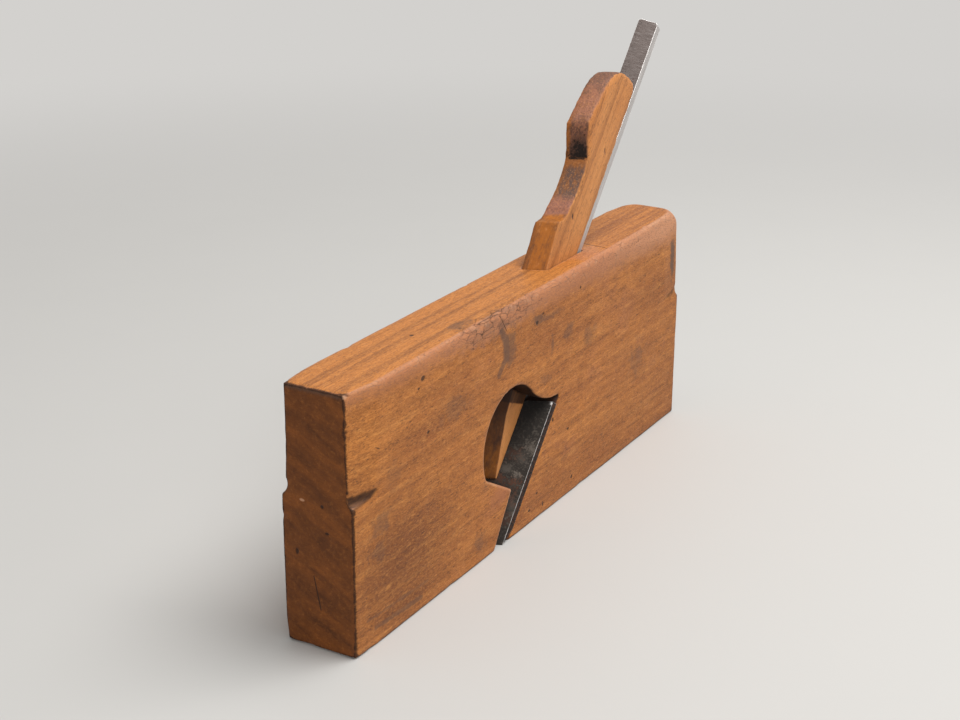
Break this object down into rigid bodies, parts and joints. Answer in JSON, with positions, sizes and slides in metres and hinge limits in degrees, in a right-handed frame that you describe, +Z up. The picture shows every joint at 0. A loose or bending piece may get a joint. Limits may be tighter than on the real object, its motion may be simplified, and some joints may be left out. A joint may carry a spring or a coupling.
{
  "type": "skew rabbet plane",
  "caption": "Wooden skew rabbet plane: a tanged iron as wide as the stock on a skewed bed, shavings leaving through a tapered round eye, held by a carved wedge.",
  "frame": {"origin": "on the sole, at the middle of the stock's length and width", "axes": "+X towards the toe, +Y towards the open side where the shavings leave, +Z up from the sole"},
  "size_m": [0.241, 0.027, 0.1665],
  "materials": {
    "stock_beech": "worn, oiled and darkened with age",
    "iron_steel": "fine-brushed tang, dark mottled blade",
    "wedge_beech": "clean sides, handled and grimy front"
  },
  "bodies": {
    "stock": {"stock": "stock_beech"},
    "iron": {"iron": "iron_steel"},
    "wedge": {"wedge": "wedge_beech"}
  },
  "joints": [
    {"name": "iron_slide", "type": "slide", "parent": "stock", "child": "iron", "axis": [-0.6561, 0, 0.7547], "range_m": [-0.025, 0.0018]},
    {"name": "wedge_slide", "type": "slide", "parent": "stock", "child": "wedge", "axis": [-0.6561, 0, 0.7547], "range_m": [0, 0.093]}
  ]
}
